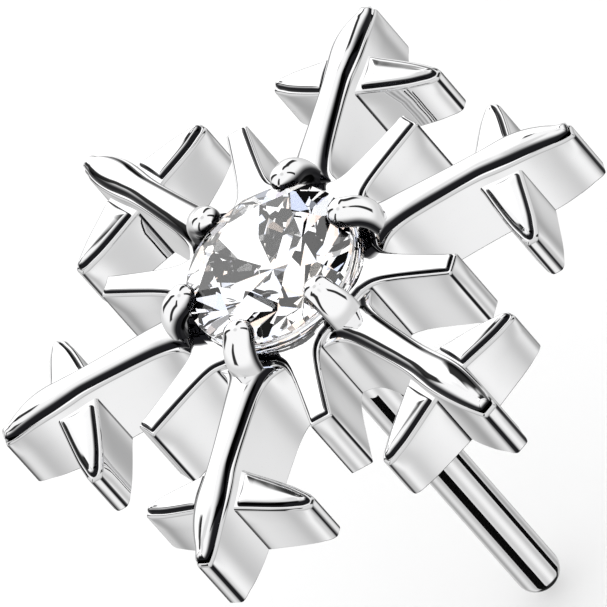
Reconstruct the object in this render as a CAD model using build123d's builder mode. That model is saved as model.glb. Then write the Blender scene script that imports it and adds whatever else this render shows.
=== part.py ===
from build123d import *
import math
import os

# Snowflake push-in top for threadless body jewellery.
# Millimetres. +Z comes out of the snowflake's face, the flat back lies on Z = 0,
# the push pin runs along -Z and the first arm lies along +X.

# ---- driving dimensions -------------------------------------------------
arm_tip_r = 4.00          # centre to the tip of a long arm
frame_top = 1.15          # height of the hub's face above the back
arm_count = 6
stone_d = 2.25            # round brilliant, across the girdle
pin_d = 0.58              # push pin, exposed length
pin_len = 5.85            # back face to the end of the pin
claw_d = 0.40             # round claw wire

# ---- clearances ---------------------------------------------------------
slip = 0.010              # radial gap of let-in and pushed-in pieces
stone_gap = 0.010         # gap between stone and metal
stone_swell = 0.0135 * stone_d    # facet edges stand this far outside the pavilion's cone
crown_swell = 0.0225 * stone_d    # and this far above the crown's cone

# ---- stone proportions --------------------------------------------------
girdle_r = stone_d / 2
girdle_h = 0.06
table_r = 0.57 * girdle_r
crown_angle = 34.5
pavilion_angle = 40.9
star_angle = 22.5
upper_half_angle = 40.5
lower_half_angle = 42.0
crown_h = (girdle_r - table_r) * math.tan(math.radians(crown_angle))
pavilion_h = girdle_r * math.tan(math.radians(pavilion_angle))
stone_turn = 11.0         # turn of the stone in its setting, degrees

# ---- setting cup --------------------------------------------------------
cup_r = girdle_r - 0.065
cup_boss_r = cup_r - 0.22
cup_step_z = 0.30
cup_floor = 0.25
cup_rim_z = frame_top + 0.02
culet_gap = 0.05
girdle_z = max(cup_rim_z + 0.10, cup_floor + culet_gap + pavilion_h)
girdle_top_z = girdle_z + girdle_h
table_z = girdle_top_z + crown_h
culet_z = girdle_z - pavilion_h

# ---- pin ----------------------------------------------------------------
pin_r = pin_d / 2
pin_nose = 0.24           # rounding at the free end
spigot_r = 0.42 * pin_r   # turned-down end held in the cup's floor

# ---- hub ----------------------------------------------------------------
bore_r = cup_r + slip
boss_bore_r = cup_boss_r + slip
hub_r = bore_r + 0.24

# ---- claws --------------------------------------------------------------
claw_r = claw_d / 2
claw_ball_r = claw_r + 0.005
claw_foot_r = hub_r + 0.12            # circle the claw feet stand on
claw_pocket_z = frame_top - 0.18      # floor of the pocket in the arm's root
tenon_r = 0.6 * claw_r
tenon_len = 0.34
claw_tip_r = girdle_r - 0.025
claw_tip_z = girdle_top_z + 0.16

# ---- arms: stations as (share of the free length, half width, top height) --
free_len = arm_tip_r - hub_r
arm_crown = 0.10          # rise of the rounded top across an arm
arm_rows = [
    (-0.075, 0.530, frame_top - 0.01),
    (-0.022, 0.396, frame_top + 0.00),
    (0.040, 0.300, frame_top + 0.02),
    (0.110, 0.232, frame_top + 0.04),
    (0.185, 0.200, frame_top + 0.05),
    (0.300, 0.166, frame_top + 0.05),
    (0.440, 0.156, frame_top + 0.05),
    (0.590, 0.176, frame_top + 0.05),
    (0.710, 0.214, frame_top + 0.03),
    (0.790, 0.205, frame_top - 0.02),
    (0.870, 0.160, frame_top - 0.09),
    (0.940, 0.110, frame_top - 0.17),
    (1.000, 0.060, frame_top - 0.26),
]

# ---- side branches: (distance from the arm's centre line, inner, outer, top) --
branch_mid = hub_r + 0.640 * free_len
branch_reach = 1.16
branch_rows = [
    (0.00, -0.270, 0.270, frame_top - 0.10),
    (0.22, -0.215, 0.225, frame_top - 0.16),
    (0.50, -0.165, 0.160, frame_top - 0.22),
    (0.85, -0.115, 0.115, frame_top - 0.30),
    (1.06, -0.090, 0.100, frame_top - 0.36),
    (branch_reach, -0.060, 0.075, frame_top - 0.395),
]
branch_crown = 0.05

# ---- short spikes: (radius, half width, top height) ------------------------
spike_tip_r = hub_r + 0.42 * free_len
spike_len = spike_tip_r - hub_r
spike_crown = 0.06
spike_rows = [
    (hub_r - 0.13, 0.360, frame_top - 0.01),
    (hub_r - 0.03, 0.281, frame_top - 0.01),
    (hub_r + 0.17 * spike_len, 0.222, frame_top - 0.01),
    (hub_r + 0.45 * spike_len, 0.172, frame_top - 0.02),
    (hub_r + 0.80 * spike_len, 0.146, frame_top - 0.03),
    (hub_r + 0.96 * spike_len, 0.134, frame_top - 0.04),
    (spike_tip_r, 0.105, frame_top - 0.06),
]


# ---- one long arm with its two side branches -------------------------------
with BuildPart() as arm_blank:
    for share, half_w, top_z in arm_rows:
        with BuildSketch(Plane.YZ.offset(hub_r + share * free_len)):
            with BuildLine():
                drop = arm_crown * half_w / 0.2
                side_z = top_z - drop
                Polyline((half_w, side_z), (half_w, 0), (-half_w, 0), (-half_w, side_z))
                ThreePointArc((-half_w, side_z), (0, top_z), (half_w, side_z))
            make_face()
    loft()
    for side in (1, -1):
        for reach, inner, outer, top_z in branch_rows:
            with BuildSketch(Plane.XZ.offset(-side * reach)):
                with BuildLine():
                    x0 = branch_mid + inner
                    x1 = branch_mid + outer
                    side_z = top_z - branch_crown
                    Polyline((x1, side_z), (x1, 0), (x0, 0), (x0, side_z))
                    ThreePointArc((x0, side_z), ((x0 + x1) / 2, top_z), (x1, side_z))
                make_face()
        loft()

# ---- one short spike -------------------------------------------------------
with BuildPart() as spike_blank:
    for radius, half_w, top_z in spike_rows:
        with BuildSketch(Plane.YZ.offset(radius)):
            with BuildLine():
                drop = spike_crown * half_w / 0.2
                side_z = top_z - drop
                Polyline((half_w, side_z), (half_w, 0), (-half_w, 0), (-half_w, side_z))
                ThreePointArc((-half_w, side_z), (0, top_z), (half_w, side_z))
            make_face()
    loft()

# ---- snowflake frame: hub, six branched arms, six spikes, one casting ------
with BuildPart() as snowflake_frame:
    with BuildSketch(Plane.XY):
        Circle(hub_r)
    extrude(amount=frame_top)
    with PolarLocations(0, arm_count):
        add(arm_blank.part)
    with PolarLocations(0, arm_count, start_angle=180 / arm_count):
        add(spike_blank.part)
    # through bore for the cup's boss, counterbore for the cup itself
    with BuildSketch(Plane.XY):
        Circle(boss_bore_r)
    extrude(amount=frame_top + 0.5, mode=Mode.SUBTRACT)
    with BuildSketch(Plane.XY.offset(cup_step_z)):
        Circle(bore_r)
    extrude(amount=frame_top + 0.5, mode=Mode.SUBTRACT)
    # pocket and tenon hole for each claw foot
    with BuildSketch(Plane.XY.offset(claw_pocket_z)):
        with PolarLocations(claw_foot_r, arm_count):
            Circle(claw_r + slip)
    extrude(amount=0.6, mode=Mode.SUBTRACT)
    with BuildSketch(Plane.XY.offset(claw_pocket_z - tenon_len - slip)):
        with PolarLocations(claw_foot_r, arm_count):
            Circle(tenon_r + slip)
    extrude(amount=tenon_len + 0.3, mode=Mode.SUBTRACT)
snowflake_frame.part.label = "snowflake_frame"

# ---- setting cup: turned, carries the stone and holds the pin ---------------
# the bearing follows the stone's underside at a small gap
gap_r = stone_gap + stone_swell
cot_pav = 1 / math.tan(math.radians(pavilion_angle))
bearing_top_r = girdle_r - (girdle_z - cup_rim_z) * cot_pav + gap_r
bearing_depth = 0.16
bearing_low_r = bearing_top_r - bearing_depth * cot_pav
well_r = 0.34
with BuildPart() as stone_seat:
    with BuildSketch(Plane.XZ):
        with BuildLine():
            Polyline(
                (spigot_r + slip, 0),
                (cup_boss_r, 0),
                (cup_boss_r, cup_step_z),
                (cup_r, cup_step_z),
                (cup_r, cup_rim_z),
                (bearing_top_r, cup_rim_z),
                (bearing_low_r, cup_rim_z - bearing_depth),
                (bearing_low_r, cup_rim_z - bearing_depth - 0.10),
                (well_r, cup_floor),
                (spigot_r + slip, cup_floor),
                close=True,
            )
        make_face()
    revolve(axis=Axis.Z)
stone_seat.part.label = "stone_seat"

# ---- round brilliant stone: a blank cut by each ring of facets ---------------
# each facet plane leans at its angle and passes one point at radius r, height z
facet_rings = [
    # (count, first azimuth, angle from the horizontal, r, z, +1 crown / -1 pavilion)
    (8, 0.0, crown_angle, girdle_r, girdle_top_z, 1),
    (8, 22.5, star_angle, table_r * math.cos(math.radians(22.5)), table_z, 1),
    (8, 11.25, upper_half_angle, girdle_r, girdle_top_z, 1),
    (8, 33.75, upper_half_angle, girdle_r, girdle_top_z, 1),
    (8, 0.0, pavilion_angle, girdle_r, girdle_z, -1),
    (8, 11.25, lower_half_angle, girdle_r, girdle_z, -1),
    (8, 33.75, lower_half_angle, girdle_r, girdle_z, -1),
]
with BuildPart() as stone:
    with BuildSketch(Plane.XY.offset(culet_z)):
        Circle(girdle_r)
    extrude(amount=table_z - culet_z)
    for count, first, lean, at_r, at_z, way in facet_rings:
        for k in range(count):
            turn = math.radians(stone_turn + first + 360 / count * k)
            tilt = math.radians(lean)
            point = (at_r * math.cos(turn), at_r * math.sin(turn), at_z)
            normal = (
                math.sin(tilt) * math.cos(turn),
                math.sin(tilt) * math.sin(turn),
                way * math.cos(tilt),
            )
            split(bisect_by=Plane(origin=point, z_dir=normal), keep=Keep.BOTTOM)
stone.part.label = "stone"

# ---- one claw: tenon, upright foot, wire bent in over the girdle, round tip ---
bend_z = cup_rim_z + 0.02
with BuildPart() as claw_blank:
    with BuildSketch(Plane.XY.offset(claw_pocket_z - tenon_len)):
        with Locations((claw_foot_r, 0)):
            Circle(tenon_r)
    extrude(amount=tenon_len + 0.02)
    with BuildLine(Plane.XZ):
        foot = Line((claw_foot_r, claw_pocket_z), (claw_foot_r, bend_z - 0.12))
        Spline(
            foot @ 1,
            (claw_foot_r - 0.075, bend_z + 0.14),
            (claw_tip_r, claw_tip_z),
            tangents=[(0, 1), (-1, 0.25)],
        )
    with BuildSketch(Plane.XY.offset(claw_pocket_z)):
        with Locations((claw_foot_r, 0)):
            Circle(claw_r)
    sweep()
    with Locations((claw_tip_r, 0, claw_tip_z)):
        Sphere(claw_ball_r)
    # notch that clears the stone's girdle and crown
    with BuildSketch(Plane.XZ):
        with BuildLine():
            lift = stone_gap + crown_swell
            Polyline(
                (0, girdle_z - 0.3),
                (girdle_r + stone_gap, girdle_z - 0.3),
                (girdle_r + stone_gap, girdle_top_z + lift),
                (table_r, table_z + lift),
                (0, table_z + lift),
                close=True,
            )
        make_face()
    revolve(axis=Axis.Z, mode=Mode.SUBTRACT)

claws = []
for index in range(arm_count):
    with BuildPart() as claw:
        with Locations(Location((0, 0, 0), (0, 0, -360 / arm_count * index))):
            add(claw_blank.part)
    claw.part.label = "claw_" + str(index + 1)
    claws.append(claw.part)

# ---- push pin: plain round pin with a rounded end, spigot in the cup floor ----
with BuildPart() as push_pin:
    with BuildSketch(Plane.XZ):
        with BuildLine():
            Polyline(
                (0, cup_floor),
                (spigot_r, cup_floor),
                (spigot_r, 0),
                (pin_r, 0),
                (pin_r, -pin_len + pin_nose),
            )
            ThreePointArc(
                (pin_r, -pin_len + pin_nose),
                (pin_r - pin_nose * 0.293, -pin_len + pin_nose * 0.293),
                (pin_r - pin_nose, -pin_len),
            )
            Polyline((pin_r - pin_nose, -pin_len), (0, -pin_len), (0, cup_floor))
        make_face()
    revolve(axis=Axis.Z)
push_pin.part.label = "push_pin"

# ---- write the parts ---------------------------------------------------------
os.makedirs("parts", exist_ok=True)
export_step(snowflake_frame.part, "parts/snowflake_frame.step")
export_step(stone_seat.part, "parts/stone_seat.step")
export_step(stone.part, "parts/stone.step")
export_step(push_pin.part, "parts/push_pin.step")
for solid in claws:
    export_step(solid, "parts/" + solid.label + ".step")
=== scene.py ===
import math

import bpy
import numpy as np
from mathutils import Matrix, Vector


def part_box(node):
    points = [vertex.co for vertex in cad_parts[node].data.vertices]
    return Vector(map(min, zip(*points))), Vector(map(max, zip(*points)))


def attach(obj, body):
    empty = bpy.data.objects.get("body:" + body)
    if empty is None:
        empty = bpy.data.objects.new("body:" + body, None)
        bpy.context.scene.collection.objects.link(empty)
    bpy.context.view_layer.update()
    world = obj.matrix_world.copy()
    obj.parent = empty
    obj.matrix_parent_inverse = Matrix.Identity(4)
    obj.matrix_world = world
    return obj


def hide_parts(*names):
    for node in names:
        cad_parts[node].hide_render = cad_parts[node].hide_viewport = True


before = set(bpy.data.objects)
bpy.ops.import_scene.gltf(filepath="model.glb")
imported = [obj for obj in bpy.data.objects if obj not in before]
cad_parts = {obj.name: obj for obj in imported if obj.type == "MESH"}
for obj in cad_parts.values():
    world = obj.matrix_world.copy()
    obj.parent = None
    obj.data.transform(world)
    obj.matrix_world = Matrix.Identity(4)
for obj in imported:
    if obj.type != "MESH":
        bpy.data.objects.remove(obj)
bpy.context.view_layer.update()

MM = 0.001


def span(node):
    """Lowest and highest corner of a CAD node, as arrays in millimetres."""
    low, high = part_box(node)
    return np.array(low) / MM, np.array(high) / MM


# ---- sizes read from the CAD, in millimetres -------------------------------------
frame_high = span("snowflake_frame")[1]
seat_high = span("stone_seat")[1]
stone_low, stone_high = span("stone")
pin_low, pin_high = span("push_pin")
TIP = frame_high[0]                     # centre to arm tip
TOP = frame_high[2] - 0.05              # the hub's face above the back
GIRDLE = stone_high[0]                  # stone radius
SEAT_R = seat_high[0]
HUB = SEAT_R + 0.25
PIN_R = pin_high[0]
FREE = TIP - HUB
TABLE_R = 0.57 * GIRDLE
CROWN = math.radians(34.5)
PAVILION = math.radians(40.9)
CULET_Z = stone_low[2]
TABLE_Z = stone_high[2]
GIRDLE_TOP = TABLE_Z - (GIRDLE - TABLE_R) * math.tan(CROWN)
GIRDLE_LOW = CULET_Z + GIRDLE * math.tan(PAVILION)


# ---- mesh helpers ----------------------------------------------------------------
def make_mesh(name, points, faces, normals=None, smooth=True):
    """A mesh object from points in millimetres; normals, one per point, are kept as custom normals."""
    mesh = bpy.data.meshes.new(name)
    mesh.from_pydata((points * MM).tolist(), [], faces)
    mesh.polygons.foreach_set("use_smooth", [smooth] * len(mesh.polygons))
    mesh.update()
    if normals is not None:
        mesh.normals_split_custom_set_from_vertices(normals.tolist())
    piece = bpy.data.objects.new(name, mesh)
    bpy.context.scene.collection.objects.link(piece)
    return piece


def ring_faces(rings, count, first=0):
    """Quads between successive closed rings of count points, wound outwards."""
    k, i = np.meshgrid(np.arange(rings - 1), np.arange(count), indexing="ij")
    j = (i + 1) % count
    a, b = first + k * count + i, first + k * count + j
    return np.stack([a, b, b + count, a + count], -1).reshape(-1, 4)


def weld(points, normals, faces, mask, near=2e-5):
    """Joins points that round to the same step of near (mm) and drops faces that collapse. A joined point
    gets the unit sum of its normals."""
    key = np.round(points / near).astype(np.int64)
    _, first, where = np.unique(key, axis=0, return_index=True, return_inverse=True)
    where = where.reshape(-1)
    summed = np.zeros((len(first), 3))
    np.add.at(summed, where, normals)
    length = np.linalg.norm(summed, axis=1, keepdims=True)
    summed = np.where(length > 1e-6, summed / np.maximum(length, 1e-6), normals[first])
    kept = []
    for quad in where[faces]:
        loop = [int(v) for n, v in enumerate(quad) if v != quad[n - 1]]
        if len(set(loop)) == len(loop) and len(loop) > 2:
            kept.append(loop)
    return points[first], summed, kept, mask[first]


def blur(values, steps):
    """Gaussian average around a closed ring, steps points wide, by fast Fourier transform."""
    n = len(values)
    f = np.fft.rfftfreq(n)
    gain = np.exp(-2 * (math.pi * f * steps) ** 2)
    return np.fft.irfft(np.fft.rfft(values, axis=0) * gain[:, None], n, axis=0)


def outline(corners, count, soften):
    """A polygon resampled at even steps and softened: a Gaussian average along its edge rounds corners."""
    c = np.array(corners, float)
    step = np.linalg.norm(np.roll(c, -1, 0) - c, axis=1)
    run = np.concatenate([[0], np.cumsum(step)])
    at = np.linspace(0, run[-1], count, endpoint=False)
    closed = np.vstack([c, c[:1]])
    p = np.stack([np.interp(at, run, closed[:, k]) for k in (0, 1)], 1)
    return blur(p, soften / (run[-1] / count)), run[-1] / count


def edge_normals(p, steps):
    """Outward horizontal normals of a counter-clockwise ring, averaged over some steps."""
    t = np.roll(p, -1, 0) - np.roll(p, 1, 0)
    n = np.stack([t[:, 1], -t[:, 0]], 1)
    n /= np.linalg.norm(n, axis=1, keepdims=True)
    n = blur(n, steps) if steps > 0 else n
    return n / np.linalg.norm(n, axis=1, keepdims=True)


def spline(xs, ys, at):
    """Catmull-Rom curve through (xs, ys), read at the given places."""
    xs, ys = np.array(xs, float), np.array(ys, float)
    m = np.gradient(ys, xs)
    k = np.clip(np.searchsorted(xs, at) - 1, 0, len(xs) - 2)
    h = xs[k + 1] - xs[k]
    u = np.clip((at - xs[k]) / h, 0, 1)
    return ((2 * u**3 - 3 * u**2 + 1) * ys[k] + (u**3 - 2 * u**2 + u) * h * m[k]
            + (3 * u**2 - 2 * u**3) * ys[k + 1] + (u**3 - u**2) * h * m[k + 1])


def arc_rows(t0, t1, d0, d1, z0, z1, rows):
    """Rows of a quarter-ellipse edge that leaves (t0, d0, z0) steeply and reaches (t1, d1, z1) level."""
    a = np.linspace(0, math.pi / 2, rows)
    go, rise = 1 - np.cos(a), np.sin(a)
    return list(zip(t0 + (t1 - t0) * go, d0 + (d1 - d0) * go, z0 + (z1 - z0) * rise))


def corner_mask(p, step):
    """Strength of the painted dark line at each outline point, by how far the outline turns within 0.022 mm
    on
    both sides: 0 up to 14 degrees, 1 from 24 degrees. The measure is 1 minus the cosine of the turn."""
    n = edge_normals(p, 0.008 / step)
    reach = max(1, int(round(0.022 / step)))
    turn = 1 - (np.roll(n, reach, 0) * np.roll(n, -reach, 0)).sum(1)
    return np.clip((turn - 0.03) / 0.06, 0, 1)


def fade(values, solid, gone):
    """Strength of the painted shade per row: 1 up to the value solid, then easing to 0 at gone."""
    u = np.clip((gone - np.array(values)) / (gone - solid), 0, 1)
    return list(u * u * (3 - 2 * u))


def slab(p, core, rows, top, step, base=0.0, spread=0.22, share=0.75, shade=(), plumb=1.0, crease=0.0):
    """A solid over outline p. Each row (t, d, drop) is a ring moved d millimetres, and then the share t of
    what is left, from the outline to core, its medial line, at height top(x, y) minus drop. Below the
    first row runs a plumb wall down to base, with a rounded foot. Wall normals are the true ones blended
    with the share of normals averaged over spread along the outline, as heavy polishing leaves them.
    On the wall the line mask, painted shade, is plumb at the corners, or crease where that is more. Row k
    gets the painted shade shade[k]."""
    n = len(p)
    foot = 0.028            # radius of the wall's rounded foot
    sharp = edge_normals(p, 0.010 / step)
    soft = sharp * (1 - share) + edge_normals(p, spread / step) * share
    soft /= np.linalg.norm(soft, axis=1, keepdims=True)
    # painted shade: dark lines at the wall's corners, and painted shade in creases where crease is more
    line = np.maximum(corner_mask(p, step) * plumb, crease)
    pts, nor, mask = [], [], []
    for t in np.linspace(1, 0, 5):
        q = p + (core - p) * t if t > 0 else p - sharp * foot
        pts.append(np.column_stack([q, np.full(n, base)]))
        nor.append(np.tile([0, 0, -1.0], (n, 1)))
        mask.append(np.zeros(n))
    for ang in (0.5, 1.0, math.pi / 2):
        pts.append(np.column_stack([p - sharp * foot * (1 - math.sin(ang)),
                                    np.full(n, base + foot * (1 - math.cos(ang)))]))
        nor.append(np.column_stack([soft * math.sin(ang), np.full(n, -math.cos(ang))]))
        mask.append(line)
    start = top(p[:, 0], p[:, 1]) - rows[0][2]
    reach = np.maximum(np.linalg.norm(core - p, axis=1), 1e-6)
    for s in (0.33, 0.66, 1.0):
        pts.append(np.column_stack([p, base + foot + (start - base - foot) * s]))
        nor.append(np.column_stack([soft, np.zeros(n)]))
        mask.append(line)
    grid = []
    for t, d, drop in rows:
        moved = np.minimum(d / reach, 0.9)
        q = p + (core - p) * (moved + (1 - moved) * t)[:, None]
        grid.append(np.column_stack([q, top(q[:, 0], q[:, 1]) - drop]))
    grid = np.array(grid)
    around = np.roll(grid, -1, 1) - np.roll(grid, 1, 1)
    across = np.gradient(grid, axis=0)
    face = np.cross(around, across)
    length = np.linalg.norm(face, axis=2, keepdims=True)
    face = np.where(length > 1e-12, face / np.maximum(length, 1e-12), [0, 0, 1.0])
    face *= np.where(face[..., 2:] < -0.2, -1, 1)
    for k in range(len(rows)):
        flat = np.linalg.norm(face[k, :, :2], axis=1)[:, None]
        w = np.clip((flat - 0.25) / 0.35, 0, 1)
        side = np.column_stack([sharp * flat, face[k, :, 2]])
        mix = face[k] * (1 - w) + side * w
        pts.append(grid[k])
        nor.append(mix / np.maximum(np.linalg.norm(mix, axis=1, keepdims=True), 1e-9))
        mask.append(np.full(n, shade[k] if k < len(shade) else 0.0))
    pts, nor, mask = np.concatenate(pts), np.concatenate(nor), np.concatenate(mask)
    faces = ring_faces(len(pts) // n, n)
    return weld(pts, nor, faces, mask)


def turned(shell, degrees):
    """A shell turned about the centre line."""
    points, normals, faces, mask = shell
    a = math.radians(degrees)
    r = np.array([[math.cos(a), -math.sin(a), 0], [math.sin(a), math.cos(a), 0], [0, 0, 1]])
    return points @ r.T, normals @ r.T, faces, mask


def keep_lines(piece, mask):
    """Stores the line mask, painted shade and painted dark lines, as a point attribute, which the metal's
    colour reads.
    """
    layer = piece.data.attributes.new("line", "FLOAT", "POINT")
    layer.data.foreach_set("value", mask.astype(np.float32))


def gather(name, parts):
    """One object from several closed shells, with their line masks."""
    faces, base = [], 0
    for p, n, f, m in parts:
        faces += [[v + base for v in loop] for loop in f]
        base += len(p)
    points, normals, mask = (np.concatenate([p[k] for p in parts]) for k in (0, 1, 3))
    piece = make_mesh(name, points, faces, normals)
    keep_lines(piece, mask)
    return piece


def lathe(name, profile, count=160, crisp=0.35):
    """A turned piece: the (r, z) profile swung about Z. Corners sharper than crisp radians are split."""
    prof = np.array(profile, float)
    a = np.linspace(0, 2 * math.pi, count, endpoint=False)
    pts = np.stack([np.outer(prof[:, 0], np.cos(a)), np.outer(prof[:, 0], np.sin(a)),
                    np.outer(prof[:, 1], np.ones(count))], -1).reshape(-1, 3)
    faces = ring_faces(len(prof), count)[:, ::-1]
    p, n, f, m = weld(pts, np.zeros_like(pts) + [0, 0, 1.0], faces, np.zeros(len(pts)))
    piece = make_mesh(name, p, f)
    piece.data.set_sharp_from_angle(angle=crisp)
    return piece


# ---- the frame's long arms --------------------------------------------------------
# distance from the centre, half width of the body, half width of the raised rib, rib top above the hub face
ARM = np.array([
    (1.24, 0.560, 0.420, 0.000), (1.31, 0.500, 0.370, 0.000), (1.38, 0.405, 0.310, 0.010),
    (1.46, 0.325, 0.262, 0.020), (1.58, 0.272, 0.232, 0.030), (1.75, 0.240, 0.212, 0.045),
    (2.00, 0.222, 0.194, 0.050), (2.30, 0.210, 0.180, 0.050), (2.60, 0.205, 0.168, 0.050),
    (2.80, 0.212, 0.166, 0.050), (3.00, 0.232, 0.182, 0.040), (3.20, 0.243, 0.202, 0.030),
    (3.38, 0.238, 0.200, 0.010), (3.55, 0.216, 0.182, -0.030), (3.72, 0.184, 0.150, -0.090),
    (3.86, 0.140, 0.110, -0.150), (3.95, 0.118, 0.088, -0.170), (4.00, 0.092, 0.068, -0.190)])
ARM[:, 0] *= TIP / 4.0


def arm_crease(px, py):
    """Strength of the painted shade in the crease by an arm's body: 1 within 0.028 mm of it, falling to 0 at
    0.042 mm.
    """
    gap = np.abs(np.abs(py) - spline(ARM[:, 0], ARM[:, 1], px)) + np.clip(ARM[1, 0] - px, 0, None)
    return np.clip((0.042 - gap) / 0.014, 0, 1)


EDGE = (0.85, 0.40, 0.32, 0.28, 0.24, 0.12)    # strength of the painted dark outline, a painted reflection line, on the first rows of an eased outer edge


def arm_line(column, start, end, count, soften):
    """Closed outline of one arm, from a column of half widths, between two distances from the centre."""
    x = np.linspace(start, end, 140)
    w = spline(ARM[:, 0], ARM[:, column], x)
    corners = np.vstack([np.column_stack([x, -w]), np.column_stack([x, w])[::-1]])
    return outline(corners, count, soften)


def arm_top(px, py):
    """Height of an arm's rib, a smooth curve through the last column of ARM."""
    return TOP + spline(ARM[:, 0], ARM[:, 3], px)


def arm_shells():
    """One long arm: a leaf-shaped body with an eased upper edge, and a round rib raised on it."""
    p, step = arm_line(1, 1.26, TIP, 300, 0.014)
    core = np.column_stack([np.clip(p[:, 0], HUB + 0.12, TIP - 0.10), np.zeros(len(p))])
    rows = arc_rows(0, 0, 0, 0.034, 0.160, 0.118, 6) + [(0.5, 0.034, 0.118), (1, 0.034, 0.118)]
    body = slab(p, core, rows, arm_top, step, shade=EDGE)
    q, step = arm_line(2, 1.34, TIP - 0.03, 300, 0.014)
    core = np.column_stack([np.clip(q[:, 0], HUB + 0.22, TIP - 0.12), np.zeros(len(q))])
    rows = [(0, 0, 0.122)] + arc_rows(0, 1, 0.002, 0.002, 0.112, 0, 18)
    # painted shade in a band along the foot and lower side of the rib
    shade = fade([row[0] for row in rows], 0.18, 0.44)
    rib = slab(q, core, rows, arm_top, step, base=0.9, shade=shade, plumb=0)
    return body, rib


# ---- side branches ---------------------------------------------------------------------
# distance from the arm's middle, inner edge and outer edge from the branch's own line
BRANCH = np.array([
    (0.10, -0.380, 0.235), (0.30, -0.318, 0.226), (0.45, -0.285, 0.215), (0.60, -0.250, 0.205),
    (0.75, -0.212, 0.193), (0.90, -0.168, 0.176), (1.02, -0.122, 0.152), (1.12, -0.082, 0.128),
    (1.18, -0.036, 0.092)])
BRANCH_X = HUB + 0.640 * FREE


def branch_top(px, py):
    """Height of a branch: it falls evenly with the distance from the arm's middle."""
    out = np.abs(py)
    return TOP - 0.145 - 0.245 * np.clip(out - 0.2, -0.3, 1.2)


def branch_line(start, shrink_in, shrink_out, end_shrink, side, count, soften):
    """Closed outline of one side branch, shrunk by the given margins."""
    b = np.linspace(start, BRANCH[-1, 0] - end_shrink, 60)
    scale = BRANCH[-1, 0] / (BRANCH[-1, 0] - end_shrink)
    inner = BRANCH_X + spline(BRANCH[:, 0], BRANCH[:, 1], b * scale) + shrink_in
    outer = BRANCH_X + spline(BRANCH[:, 0], BRANCH[:, 2], b * scale) - shrink_out
    corners = np.vstack([np.column_stack([outer, side * b]), np.column_stack([inner, side * b])[::-1]])
    if side < 0:
        corners = corners[::-1]
    return outline(corners, count, soften)


def branch_core(p, side, near, far):
    """Medial line of a branch between two distances from the arm, leaning out a little with the distance."""
    lean = BRANCH_X - 0.03 + 0.05 * np.abs(p[:, 1])
    return np.column_stack([lean, side * np.clip(side * p[:, 1], near, far)])


def branch_shells(side):
    """One side branch: a body sloping down to a rounded tip, and a flat-topped pillow raised on it."""
    p, step = branch_line(0.10, 0, 0, 0, side, 170, 0.014)
    core = branch_core(p, side, 0.25, 1.05)
    rows = arc_rows(0, 0, 0, 0.040, 0.115, 0.075, 6) + [(0.5, 0.040, 0.075), (1, 0.040, 0.075)]
    # painted shade in the crease where the branch meets the arm
    body = slab(p, core, rows, branch_top, step, shade=EDGE, crease=arm_crease(p[:, 0], p[:, 1]))
    q, step = branch_line(0.285, 0.042, 0.040, 0.03, side, 170, 0.016)
    core = branch_core(q, side, 0.44, 1.02)
    rows = [(0, 0, 0.079)] + arc_rows(0, 0, 0.002, 0.070, 0.070, 0.006, 10)
    rows += [(0.35, 0.070, 0.002), (0.7, 0.070, 0.0005), (1.0, 0.070, 0.0)]
    # painted shade along the foot and lower side of the pillow
    shade = fade([row[1] for row in rows], 0.026, 0.052)
    pillow = slab(q, core, rows, branch_top, step, base=0.5, shade=shade, plumb=0)
    return body, pillow


# ---- hub and short spikes ----------------------------------------------------------------
SPIKE_TIP = HUB + 0.44 * FREE
# distance from the centre, half width of a spike
SPIKE = np.array([
    (HUB - 0.010, 0.350), (HUB + 0.045, 0.300), (HUB + 0.11, 0.256), (HUB + 0.22, 0.220),
    (HUB + 0.40, 0.194), (HUB + 0.65, 0.176), (HUB + 0.90, 0.164), (SPIKE_TIP, 0.150)])


def star_line(inset, count, soften):
    """Closed outline of the hub with its six spikes, moved in by inset."""
    corners = []
    x = np.linspace(SPIKE[0, 0] - inset, SPIKE_TIP - inset, 40)
    w = spline(SPIKE[:, 0], SPIKE[:, 1], x + inset * 0.5) - inset
    for k in range(6):
        a = math.radians(30 + 60 * k)
        out = np.array([math.cos(a), math.sin(a)])
        left = np.array([-out[1], out[0]])
        corners += [out * r - left * h for r, h in zip(x, w)]
        corners += [out * r + left * h for r, h in zip(x[::-1], w[::-1])]
    return outline(corners, count, soften)


def star_core(p, tip):
    """Medial line of the star: a ring in the hub, with a line running out along each spike. Going round the
    outline, its point slides along the ring to the spike's line and then out along that."""
    ring = HUB - 0.115
    ang = np.arctan2(p[:, 1], p[:, 0])
    near = np.radians(np.round((np.degrees(ang) - 30) / 60) * 60 + 30)
    off = ang - near
    off = (off + math.pi) % (2 * math.pi) - math.pi
    far = np.hypot(p[:, 0], p[:, 1])
    slide = np.clip((HUB + 0.12 - far) / 0.13, 0, 1)
    out = np.clip((far - HUB - 0.12) / (tip - 0.13 - HUB - 0.12), 0, 1)
    r = ring + (tip - 0.13 - ring) * np.where(slide > 0, 0, out)
    a = near + off * slide
    return np.column_stack([np.cos(a), np.sin(a)]) * r[:, None]


def star_top(px, py):
    """Height of the hub and spikes: level in the hub, then falling slightly to the tips."""
    return TOP + 0.005 - 0.02 * np.clip((np.hypot(px, py) - HUB) / (SPIKE_TIP - HUB), 0, 1)


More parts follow.
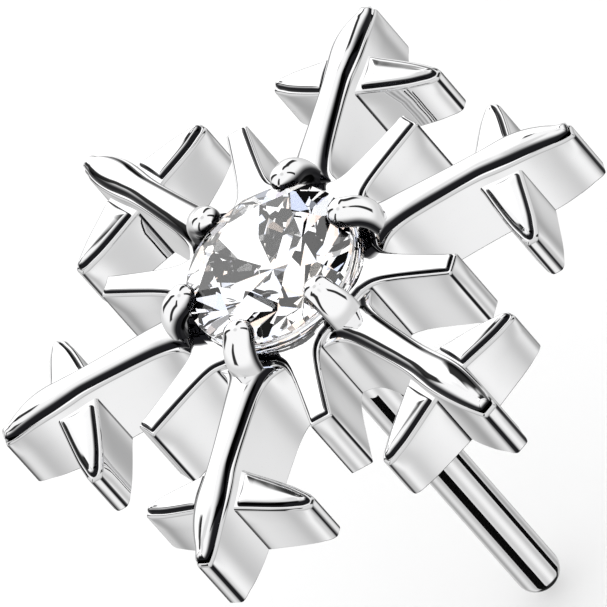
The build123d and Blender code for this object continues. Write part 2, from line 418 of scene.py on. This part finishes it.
def star_shells():
    """Hub and short spikes: a plate with an eased edge, and a raised face with a rounded edge all round."""
    p, step = star_line(0.0, 1080, 0.012)
    rows = arc_rows(0, 0, 0, 0.032, 0.090, 0.054, 6) + [(0.5, 0.032, 0.054), (1, 0.032, 0.054)]
    far, swing = np.hypot(p[:, 0], p[:, 1]), np.degrees(np.arctan2(p[:, 1], p[:, 0]))
    swing = np.radians(swing - 60 * np.round(swing / 60))
    # painted shade in the creases where the star meets the arms
    crease = arm_crease(far * np.cos(swing), far * np.sin(swing))
    body = slab(p, star_core(p, SPIKE_TIP), rows, star_top, step, shade=EDGE, crease=crease)
    q, step = star_line(0.030, 1080, 0.016)
    rows = [(0, 0, 0.058)] + arc_rows(0, 0, 0.002, 0.050, 0.050, 0.004, 9)
    rows += [(0.35, 0.050, 0.0015), (0.7, 0.050, 0.0003), (1.0, 0.050, 0.0)]
    # painted shade along the foot and lower side of the raised face
    shade = fade([row[1] for row in rows], 0.020, 0.040)
    face = slab(q, star_core(q, SPIKE_TIP - 0.03), rows, star_top, step, base=0.9, shade=shade, plumb=0)
    return body, face


def hub_ring():
    """The plate between the star's medial line and the bore, with a small rounded lip at the bore."""
    z = TOP + 0.005
    inner = SEAT_R + 0.006
    ring = HUB - 0.110
    swing = np.linspace(0, math.pi / 2, 6)
    lip = [(inner + 0.022 * (1 - math.sin(a)), z - 0.022 * (1 - math.cos(a))) for a in swing]
    plate = [(ring, 0.002), (ring, z - 0.001), (ring - 0.004, z)]
    return plate + lip + [(inner, 0.3), (inner, 0.002), (ring, 0.002)]


arm_parts = arm_shells()
arms = gather("frame_arms", [turned(part, 60 * k) for k in range(6) for part in arm_parts])
branch_parts = [part for side in (1, -1) for part in branch_shells(side)]
branches = gather("frame_branches", [turned(part, 60 * k) for k in range(6) for part in branch_parts])
star = gather("frame_star", star_shells())
hub = lathe("frame_hub", hub_ring())

# ---- setting cup, pin ---------------------------------------------------------------
cot = 1 / math.tan(PAVILION)
rim_z = seat_high[2]
bear = GIRDLE - (GIRDLE_LOW - rim_z) * cot + 0.036      # radius at the rim, a little outside the pavilion
cup = lathe("setting_cup", [
    (PIN_R + 0.004, 0.03), (PIN_R + 0.004, 0.0), (SEAT_R - 0.235, 0.0), (SEAT_R - 0.22, 0.015),
    (SEAT_R - 0.22, 0.30), (SEAT_R - 0.01, 0.30), (SEAT_R, 0.31), (SEAT_R, rim_z - 0.012),
    (SEAT_R - 0.004, rim_z - 0.003), (SEAT_R - 0.012, rim_z), (bear + 0.004, rim_z), (bear, rim_z - 0.003),
    (bear - 0.16 * cot, rim_z - 0.16), (bear - 0.16 * cot, rim_z - 0.26), (0.34, 0.25), (0.12, 0.25),
    (0.12, 0.03), (PIN_R + 0.004, 0.03)])
nose = 0.24                             # rounding of the pin's free end
low = pin_low[2]
pin_profile = [(0.0, 0.05), (PIN_R - 0.01, 0.05), (PIN_R, 0.04)]
pin_profile += [(PIN_R, z) for z in (-0.02, -1.5, -3.2, low + nose)]
pin_profile += [(PIN_R - nose * (1 - math.cos(a)), low + nose * (1 - math.sin(a)))
                for a in np.linspace(0.12, math.pi / 2, 12)]
pin_profile += [((PIN_R - nose) * s, low) for s in (0.5, 0.0)]
pin = lathe("push_pin_wire", pin_profile[::-1], crisp=1.2)


# ---- claws --------------------------------------------------------------------------
def claw_shell():
    """A prong swept along a curve that rises out of the rib and bends in over the girdle, with a round tip.
    Half width and half depth change along it. Where it would enter the stone it is filed back to a gap.
    The line mask paints shade on its foot and on the side that faces the stone."""
    s = np.linspace(0, 1, 44)
    keys = [0, 0.22, 0.45, 0.70, 1.0]
    px = spline(keys, [1.415, 1.400, 1.360, 1.265, 1.115], s)
    pz = spline(keys, [0.98, 1.14, 1.28, 1.40, 1.485], s)
    wide = spline(keys, [0.225, 0.222, 0.215, 0.205, 0.195], s)
    deep = spline(keys, [0.125, 0.135, 0.155, 0.175, 0.185], s)
    tan = np.stack([np.gradient(px), np.gradient(pz)], 1)
    tan /= np.linalg.norm(tan, axis=1, keepdims=True)
    cap = np.linspace(0.08, math.pi / 2, 18)
    px = np.concatenate([px, px[-1] + tan[-1, 0] * deep[-1] * np.sin(cap)])
    pz = np.concatenate([pz, pz[-1] + tan[-1, 1] * deep[-1] * np.sin(cap)])
    tan = np.vstack([tan, np.tile(tan[-1], (len(cap), 1))])
    wide = np.concatenate([wide, wide[-1] * np.cos(cap)])
    deep = np.concatenate([deep, deep[-1] * np.cos(cap)])
    around = 64
    a = np.linspace(0, 2 * math.pi, around, endpoint=False)
    up = np.stack([-tan[:, 1], tan[:, 0]], 1)
    x = px[:, None] - np.outer(deep, np.cos(a)) * up[:, :1]
    z = pz[:, None] - np.outer(deep, np.cos(a)) * up[:, 1:]
    y = np.outer(wide, np.sin(a))
    radial = np.hypot(x, y)
    crown = GIRDLE_TOP + 0.062 + np.clip(GIRDLE - radial, 0, None) * math.tan(CROWN)
    inside = radial < GIRDLE + 0.012
    z = np.where(inside, np.maximum(z, crown), z)
    pts = np.stack([x, y, z], -1).reshape(-1, 3)
    faces = ring_faces(len(px), around)[:, ::-1]
    # painted shade on the side towards the stone and on the foot, where the prong meets the rib
    under = np.tile(np.clip((0.50 - np.cos(a)) / 0.35, 0, 1), len(px))
    foot = np.repeat(np.arange(len(px)) < 9, around)
    return weld(pts, np.zeros_like(pts) + [0, 0, 1.0], faces, np.maximum(under, foot))


claw_part = claw_shell()
claws = []
for k in range(6):
    shell = turned(claw_part, -60 * k)
    piece = make_mesh("claw_wire_%d" % (k + 1), shell[0], shell[2])
    piece.data.set_sharp_from_angle(angle=1.0)
    keep_lines(piece, shell[3])
    claws.append(piece)


# ---- the stone ----------------------------------------------------------------------
def cut(faces, point, normal):
    """Cuts a convex solid, kept as a list of face polygons, by one plane and closes it with a new face."""
    kept, rim = [], []
    for poly, tag in faces:
        d = (poly - point) @ normal
        out = []
        for i in range(len(poly)):
            j = (i + 1) % len(poly)
            if d[i] <= 1e-9:
                out.append(poly[i])
            if (d[i] <= 1e-9) != (d[j] <= 1e-9):
                x = poly[i] + (poly[j] - poly[i]) * (d[i] / (d[i] - d[j]))
                out.append(x)
                rim.append(x)
        if len(out) > 2:
            kept.append((np.array(out), tag))
    return kept, rim


def brilliant(turn):
    """A round brilliant: a many-sided blank cut by 8 mains, 8 stars and 16 halves above the girdle, and by
    8 mains and 16 halves below it. Each row of rings is count, first turn, lean, radius, height, side."""
    m = 96
    a = np.linspace(0, 2 * math.pi, m, endpoint=False)
    ring = np.column_stack([np.cos(a), np.sin(a)]) * GIRDLE
    low = np.column_stack([ring, np.full(m, CULET_Z - 0.05)])
    high = np.column_stack([ring, np.full(m, TABLE_Z)])
    faces = [(high, 0), (low[::-1], 1)]
    faces += [(np.array([low[i], low[(i + 1) % m], high[(i + 1) % m], high[i]]), 2) for i in range(m)]
    rings = [(8, 0.0, 34.5, GIRDLE, GIRDLE_TOP, 1),
             (8, 22.5, 22.5, TABLE_R * math.cos(math.pi / 8), TABLE_Z, 1),
             (8, 11.25, 40.5, GIRDLE, GIRDLE_TOP, 1), (8, 33.75, 40.5, GIRDLE, GIRDLE_TOP, 1),
             (8, 0.0, 40.9, GIRDLE, GIRDLE_LOW, -1), (8, 11.25, 42.0, GIRDLE, GIRDLE_LOW, -1),
             (8, 33.75, 42.0, GIRDLE, GIRDLE_LOW, -1)]
    tag = 3
    for count, first, lean, r, z, way in rings:
        for k in range(count):
            t = math.radians(turn + first + 360 / count * k)
            c = math.radians(lean)
            normal = np.array([math.sin(c) * math.cos(t), math.sin(c) * math.sin(t), way * math.cos(c)])
            faces, rim = cut(faces, np.array([r * math.cos(t), r * math.sin(t), z]), normal)
            if len(rim) > 2:
                q = np.array(rim)
                mid = q.mean(0)
                u = np.cross(normal, [0.3, 0.5, 0.8])
                u /= np.linalg.norm(u)
                v = np.cross(normal, u)
                order = np.argsort(np.arctan2((q - mid) @ v, (q - mid) @ u))
                q = q[order]
                keep = np.linalg.norm(q - np.roll(q, 1, 0), axis=1) > 1e-6
                faces.append((q[keep], tag))
            tag += 1
    pts, loops, tags = [], [], []
    for poly, t in faces:
        keep = np.linalg.norm(poly - np.roll(poly, 1, 0), axis=1) > 1e-6
        poly = poly[keep]
        if len(poly) < 3:
            continue
        loops.append(list(range(len(pts), len(pts) + len(poly))))
        pts += list(poly)
        tags.append(t)
    pts = np.array(pts)
    key = np.round(pts / 2e-5).astype(np.int64)
    _, first, where = np.unique(key, axis=0, return_index=True, return_inverse=True)
    where = where.reshape(-1)
    out, out_tags = [], []
    for loop, t in zip(loops, tags):
        w = [int(where[v]) for v in loop]
        w = [v for n, v in enumerate(w) if v != w[n - 1]]
        if len(w) > 2:
            out.append(w)
            out_tags.append(t)
    return pts[first], out, out_tags


stone_points, stone_faces, stone_tags = brilliant(11.0)
stone = make_mesh("brilliant_stone", stone_points, stone_faces, smooth=False)


# ---- materials ------------------------------------------------------------------------
def socket(group, name, kind, way, value=None):
    """A named input or output of a node group."""
    s = group.interface.new_socket(name=name, in_out=way, socket_type=kind)
    if value is not None:
        s.default_value = value
    return s


def polish_group():
    """Polished metal: faint tone clouds, fine rubbing marks, a slight waviness of the surface, and painted
    shade: the Line input darkens the colour.
    """
    g = bpy.data.node_groups.new("polish_wear_and_painted_shade", "ShaderNodeTree")
    socket(g, "Position", "NodeSocketVector", "INPUT")
    socket(g, "Tone", "NodeSocketColor", "INPUT", (0.9, 0.9, 0.9, 1))
    socket(g, "Mark Scale", "NodeSocketFloat", "INPUT", 60.0)
    socket(g, "Roughness", "NodeSocketFloat", "INPUT", 0.03)
    socket(g, "Wave Strength", "NodeSocketFloat", "INPUT", 0.05)
    socket(g, "Line", "NodeSocketFloat", "INPUT", 0.0)
    socket(g, "Color", "NodeSocketColor", "OUTPUT")
    socket(g, "Roughness", "NodeSocketFloat", "OUTPUT")
    socket(g, "Normal", "NodeSocketVector", "OUTPUT")
    n, link = g.nodes, g.links
    a, b = n.new("NodeGroupInput"), n.new("NodeGroupOutput")
    mm = n.new("ShaderNodeVectorMath")
    mm.operation = "SCALE"
    mm.inputs["Scale"].default_value = 1000.0
    link.new(a.outputs["Position"], mm.inputs[0])
    cloud = n.new("ShaderNodeTexNoise")
    cloud.inputs["Scale"].default_value = 1.6
    cloud.inputs["Detail"].default_value = 3
    link.new(mm.outputs[0], cloud.inputs["Vector"])
    tone = n.new("ShaderNodeMapRange")
    tone.inputs["To Min"].default_value = 0.955
    tone.inputs["To Max"].default_value = 1.0
    link.new(cloud.outputs["Fac"], tone.inputs["Value"])
    dim = n.new("ShaderNodeMix")
    dim.data_type = "RGBA"
    dim.blend_type = "MULTIPLY"
    dim.inputs[0].default_value = 1
    link.new(a.outputs["Tone"], dim.inputs[6])
    link.new(tone.outputs[0], dim.inputs[7])
    # painted shade: where the Line mask is high the colour turns near black, for painted dark reflection
    # lines at corners and edges and painted shade in creases, along rib feet and under the claws
    painted_dark_line = n.new("ShaderNodeMix")
    painted_dark_line.data_type = "RGBA"
    painted_dark_line.inputs[7].default_value = (0.012, 0.012, 0.014, 1)
    link.new(a.outputs["Line"], painted_dark_line.inputs[0])
    link.new(dim.outputs[2], painted_dark_line.inputs[6])
    link.new(painted_dark_line.outputs[2], b.inputs["Color"])
    marks = n.new("ShaderNodeTexNoise")
    marks.inputs["Detail"].default_value = 4
    stretch = n.new("ShaderNodeMapping")
    stretch.inputs["Scale"].default_value = (1, 0.12, 0.5)
    stretch.inputs["Rotation"].default_value = (0.3, 0.2, 0.7)
    link.new(mm.outputs[0], stretch.inputs["Vector"])
    link.new(stretch.outputs[0], marks.inputs["Vector"])
    link.new(a.outputs["Mark Scale"], marks.inputs["Scale"])
    rough = n.new("ShaderNodeMapRange")
    rough.inputs["From Min"].default_value = 0.45
    rough.inputs["From Max"].default_value = 0.8
    rough.inputs["To Min"].default_value = 0.0
    rough.inputs["To Max"].default_value = 0.05
    link.new(marks.outputs["Fac"], rough.inputs["Value"])
    add = n.new("ShaderNodeMath")
    add.operation = "ADD"
    link.new(rough.outputs[0], add.inputs[0])
    link.new(a.outputs["Roughness"], add.inputs[1])
    link.new(add.outputs[0], b.inputs["Roughness"])
    wave = n.new("ShaderNodeTexNoise")
    wave.inputs["Scale"].default_value = 2.2
    wave.inputs["Detail"].default_value = 1
    link.new(mm.outputs[0], wave.inputs["Vector"])
    bump = n.new("ShaderNodeBump")
    bump.inputs["Distance"].default_value = 0.00005
    link.new(a.outputs["Wave Strength"], bump.inputs["Strength"])
    link.new(wave.outputs["Fac"], bump.inputs["Height"])
    link.new(bump.outputs[0], b.inputs["Normal"])
    return g


POLISH = polish_group()


def steel(name, tone, roughness, marks, wave):
    """Polished metal that takes its wear and its painted shade from the polish group: the line attribute
    paints dark lines and shade into its colour.
    """
    m = bpy.data.materials.new(name)
    m.use_nodes = True
    n, link = m.node_tree.nodes, m.node_tree.links
    shader = n["Principled BSDF"]
    shader.inputs["Metallic"].default_value = 1.0
    where = n.new("ShaderNodeTexCoord")
    g = n.new("ShaderNodeGroup")
    g.node_tree = POLISH
    g.inputs["Tone"].default_value = (*tone, 1)
    g.inputs["Mark Scale"].default_value = marks
    g.inputs["Roughness"].default_value = roughness
    g.inputs["Wave Strength"].default_value = wave
    line = n.new("ShaderNodeAttribute")
    line.attribute_name = "line"
    link.new(line.outputs["Fac"], g.inputs["Line"])
    link.new(where.outputs["Object"], g.inputs["Position"])
    link.new(g.outputs["Color"], shader.inputs["Base Color"])
    link.new(g.outputs["Roughness"], shader.inputs["Roughness"])
    link.new(g.outputs["Normal"], shader.inputs["Normal"])
    return m


def gem():
    """Clear stone whose facets carry painted fire: a faint warm or cool tint on some facets, standing in for
    dispersion.
    """
    m = bpy.data.materials.new("clear_stone")
    m.use_nodes = True
    n, link = m.node_tree.nodes, m.node_tree.links
    shader = n["Principled BSDF"]
    shader.inputs["Transmission Weight"].default_value = 1.0
    shader.inputs["Roughness"].default_value = 0.0
    shader.inputs["IOR"].default_value = 2.17
    tint = n.new("ShaderNodeAttribute")
    tint.attribute_name = "painted_fire_tint"
    link.new(tint.outputs["Color"], shader.inputs["Base Color"])
    return m


# painted fire: some facets get a faint warm or cool tint, spread by seven times the facet's number, modulo 11
painted_fire_colors = {1: (1.0, 0.93, 0.85), 4: (0.90, 0.94, 1.0), 7: (1.0, 0.97, 0.90), 9: (0.93, 0.93, 1.0)}
tints = np.ones((len(stone_faces), 4), np.float32)
for row, tag in enumerate(stone_tags):
    tints[row, :3] = painted_fire_colors.get(tag * 7 % 11, (1.0, 1.0, 1.0))
layer = stone.data.attributes.new("painted_fire_tint", "FLOAT_COLOR", "FACE")
layer.data.foreach_set("color", tints.reshape(-1))

frame_steel = steel("frame_polished", (0.93, 0.93, 0.935), 0.02, 34.0, 0.04)
claw_steel = steel("claw_polished", (0.93, 0.93, 0.935), 0.02, 40.0, 0.04)
seat_steel = steel("seat_turned", (0.90, 0.90, 0.905), 0.05, 60.0, 0.03)
pin_steel = steel("pin_drawn", (0.92, 0.92, 0.925), 0.035, 50.0, 0.02)
stone_glass = gem()

for piece in (arms, branches, star, hub):
    piece.data.materials.append(frame_steel)
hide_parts("snowflake_frame")
cup.data.materials.append(seat_steel)
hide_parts("stone_seat")
pin.data.materials.append(pin_steel)
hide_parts("push_pin")
for k, piece in enumerate(claws):
    piece.data.materials.append(claw_steel)
    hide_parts("claw_%d" % (k + 1))
stone.data.materials.append(stone_glass)
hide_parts("stone")
pieces = [arms, branches, star, hub, cup, pin, stone] + claws
for piece in pieces:
    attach(piece, "root")

# ---- floor ------------------------------------------------------------------------------
FLOOR_R, FLOOR_SIDES = 400, 128
floor_z = low - 0.15
a = np.linspace(0, 2 * math.pi, FLOOR_SIDES, endpoint=False)
disc = np.column_stack([np.cos(a) * FLOOR_R, np.sin(a) * FLOOR_R, np.full(FLOOR_SIDES, floor_z)])
floor = make_mesh("floor", disc, [list(range(FLOOR_SIDES))], smooth=False)
pale = bpy.data.materials.new("pale_floor")
pale.use_nodes = True
pale_shader = pale.node_tree.nodes["Principled BSDF"]
pale_shader.inputs["Base Color"].default_value = (0.9, 0.9, 0.9, 1)
pale_shader.inputs["Roughness"].default_value = 0.9
floor.data.materials.append(pale)
floor.visible_glossy = False
floor.visible_transmission = False


# ---- two thin dark strips close to the pin, which draw the dark lines of a polished wire ----
black = bpy.data.materials.new("dark_strip")
black.use_nodes = True
black_shader = black.node_tree.nodes["Principled BSDF"]
black_shader.inputs["Base Color"].default_value = (0.005, 0.005, 0.005, 1)
black_shader.inputs["Specular IOR Level"].default_value = 0
STRIPS = ((198, 0.135), (288, 0.090))    # heading in degrees, half width in millimetres
STRIP_AWAY = 0.50                        # distance of a strip from the pin's axis
STRIP_LOW, STRIP_HIGH = -7.0, -1.5
for heading, half in STRIPS:
    turn = math.radians(heading)
    out = np.array([math.cos(turn), math.sin(turn), 0.0])
    along = np.array([-out[1], out[0], 0.0])
    sides = ((-half, STRIP_LOW), (half, STRIP_LOW), (half, STRIP_HIGH), (-half, STRIP_HIGH))
    corners = [out * STRIP_AWAY + along * w + np.array([0, 0, z]) for w, z in sides]
    strip = make_mesh("dark_strip_%d" % heading, np.array(corners), [[0, 1, 2, 3]], smooth=False)
    strip.visible_camera = False
    strip.visible_diffuse = False
    strip.visible_transmission = False
    strip.visible_shadow = False
    strip.data.materials.append(black)


# ---- studio light: a pale room, a white panel behind the object and dark flags to both sides ---
# Headings and heights are in degrees, brightnesses are strengths of the world's light.
CAMERA_HEADING, CAMERA_CLIMB = 227.89, 44.09     # where the camera stands
FLAG_TURNS = (75, 140)                           # each pair of flags, either side of the camera
# middle height, half width, half height and soft edge, then brightness
FLAG = (25, 11, 32, 5, 0.03)
PANEL = (30, 35, 45, 10, 1.30)                   # stands where level faces mirror to the camera
WALL_HIGH, WALL_LOW = 0.97, 0.68                 # the room's walls from 5 up, and from 25 below level
ZENITH = 0.72
TABLE, TABLE_LIT, TABLE_RIPPLE = 0.62, 0.16, 0.15
RIPPLE_TURN = 36.0
NADIR = 0.02                                     # straight below, under the object
GEM_DARK, GEM_GREY, GEM_BRIGHT = 0.01, 0.50, 1.45
GEM_FAN, GEM_TIERS = 11.0, 17.0                  # waves per turn of heading and of height
PLAIN, GAIN = 1.25, 1.08                         # what camera and diffuse rays see; gain of all the rest
# waves per turn, shift, colour of the stone's faint fire
FIRE = ((5.0, 40.0, (1.0, 0.55, 0.28, 1)), (7.0, 115.0, (0.42, 0.58, 1.0, 1)))
FIRE_SHARE = 0.38


def studio():
    """The world's light by heading and height. Metal mirrors the room with its panel and flags above, and the
    table below: TABLE, plus TABLE_LIT times the cosine of the heading from the camera, plus TABLE_RIPPLE
    times the cosine of six times that heading and RIPPLE_TURN. Rays through the stone see patches instead:
    sine of GEM_FAN headings plus 0.8 sine of GEM_TIERS heights, split into dark, grey and bright."""
    world = bpy.data.worlds.new("studio")
    bpy.context.scene.world = world
    world.use_nodes = True
    t = world.node_tree
    n, link = t.nodes, t.links
    back = n["Background"]
    coord = n.new("ShaderNodeTexCoord")
    split = n.new("ShaderNodeSeparateXYZ")
    link.new(coord.outputs["Generated"], split.inputs[0])

    def calc(op, *values):
        """One Math node; each value is a number or a socket."""
        m = n.new("ShaderNodeMath")
        m.operation = op
        for k, v in enumerate(values):
            if isinstance(v, (int, float)):
                m.inputs[k].default_value = v
            else:
                link.new(v, m.inputs[k])
        return m.outputs[0]

    def blend(factor, first, second):
        """First where factor is 0, second where it is 1."""
        m = n.new("ShaderNodeMix")
        for k, v in ((0, factor), (2, first), (3, second)):
            if isinstance(v, (int, float)):
                m.inputs[k].default_value = v
            else:
                link.new(v, m.inputs[k])
        return m.outputs[0]

    def ease(value, start, end):
        """0 at start, easing to 1 at end."""
        m = n.new("ShaderNodeMapRange")
        m.interpolation_type = "SMOOTHSTEP"
        m.inputs["From Min"].default_value = start
        m.inputs["From Max"].default_value = end
        link.new(value, m.inputs["Value"])
        return m.outputs[0]

    x, y, z = split.outputs
    height = calc("DEGREES", calc("ARCSINE", z))
    heading = calc("DEGREES", calc("ARCTAN2", y, x))
    heading = calc("WRAP", heading, 360.0, 0.0)
    room = blend(ease(height, 5.0, -25.0), WALL_HIGH, WALL_LOW)
    cards = [(180, PANEL)] + [(side * turn, FLAG) for turn in FLAG_TURNS for side in (-1, 1)]
    for turn, (up, half, tall, soft, bright) in cards:
        away = calc("WRAP", calc("SUBTRACT", heading, CAMERA_HEADING + turn), 180.0, -180.0)
        rise = calc("ABSOLUTE", calc("SUBTRACT", height, up))
        off = calc("MAXIMUM", calc("SUBTRACT", calc("ABSOLUTE", away), half), calc("SUBTRACT", rise, tall))
        room = blend(ease(off, 0.0, -soft), room, bright)
    room = blend(ease(height, 74.0, 82.0), room, ZENITH)
    # the table is lit from the camera's side, with a faint ripple of six, one for each arm
    turned_in = calc("RADIANS", calc("SUBTRACT", heading, CAMERA_HEADING))
    lit = calc("MULTIPLY", calc("COSINE", turned_in), TABLE_LIT)
    sixfold = calc("MULTIPLY", calc("ADD", turned_in, math.radians(RIPPLE_TURN)), 6.0)
    ripple = calc("MULTIPLY", calc("COSINE", sixfold), TABLE_RIPPLE)
    table = calc("ADD", calc("ADD", lit, ripple), TABLE)
    ground = blend(ease(height, -60.0, -70.0), table, NADIR)
    low_down = ease(height, -32.0, -38.0)
    metal = blend(low_down, room, ground)
    path = n.new("ShaderNodeLightPath")
    # the stone sees a pattern of dark, grey and bright patches, which gives its facets contrast
    fan = calc("SINE", calc("MULTIPLY", heading, math.radians(GEM_FAN)))
    tiers = calc("SINE", calc("MULTIPLY", height, math.radians(GEM_TIERS)))
    both = calc("ADD", fan, calc("MULTIPLY", tiers, 0.8))
    pale_patch = blend(ease(both, -0.70, -0.50), GEM_GREY, GEM_BRIGHT)
    gem_room = blend(ease(both, -1.00, -0.90), GEM_DARK, pale_patch)
    level = blend(path.outputs["Is Transmission Ray"], metal, gem_room)
    plain = calc("MAXIMUM", path.outputs["Is Camera Ray"], path.outputs["Is Diffuse Ray"])
    link.new(blend(plain, calc("MULTIPLY", level, GAIN), PLAIN), back.inputs["Strength"])
    # faint fire: narrow warm and cool sectors, seen through the stone only
    shade = (1, 1, 1, 1)
    for turns, shift, color in FIRE:
        slant = calc("ADD", calc("ADD", heading, height), shift)
        wave = calc("SINE", calc("MULTIPLY", slant, math.radians(turns)))
        mix = n.new("ShaderNodeMix")
        mix.data_type = "RGBA"
        share = calc("MULTIPLY", ease(wave, 0.80, 0.95), FIRE_SHARE)
        link.new(calc("MULTIPLY", share, path.outputs["Is Transmission Ray"]), mix.inputs[0])
        if isinstance(shade, tuple):
            mix.inputs[6].default_value = shade
        else:
            link.new(shade, mix.inputs[6])
        mix.inputs[7].default_value = color
        shade = mix.outputs[2]
    link.new(shade, back.inputs["Color"])


for piece in (arms, branches, star, hub):
    piece.visible_glossy = False         # a clean studio reflection: the frame does not mirror itself
for piece in (arms, branches, star, hub, cup, pin):
    piece.visible_transmission = False   # the stone shows the studio, not the metal behind it
studio()

# ---- camera -----------------------------------------------------------------------------
CAMERA_ROLL = 41.25
heading, climb, roll = (math.radians(v) for v in (CAMERA_HEADING, CAMERA_CLIMB, CAMERA_ROLL))
distance = 250.0
width = 7.33                            # width seen at the object, mm
aim_right, aim_down = -0.205, -0.235    # the frame's middle from the object's origin, mm
sensor = 36.0
flat = math.cos(climb)
ahead = -np.array([flat * math.cos(heading), flat * math.sin(heading), math.sin(climb)])
level = np.array([-math.sin(heading), math.cos(heading), 0.0])
level_up = np.cross(level, ahead)
right = math.cos(roll) * level - math.sin(roll) * level_up
down = np.cross(ahead, right)
cam = bpy.data.cameras.new("camera")
cam.sensor_width = sensor
cam.lens = sensor * distance / width
cam.clip_start = 0.01
cam.clip_end = 10.0
view = bpy.data.objects.new("camera", cam)
place = right * aim_right + down * aim_down - ahead * distance
turn = Matrix(np.column_stack([right, -down, -ahead]).tolist())
view.matrix_world = Matrix.Translation(place * MM) @ turn.to_4x4()
bpy.context.scene.collection.objects.link(view)
bpy.context.scene.camera = view
look = bpy.context.scene.view_settings
look.view_transform = "Standard"
look.look = "None"

# ---- bring the scene up to date ------------------------------------------------------------
bpy.context.view_layer.update()
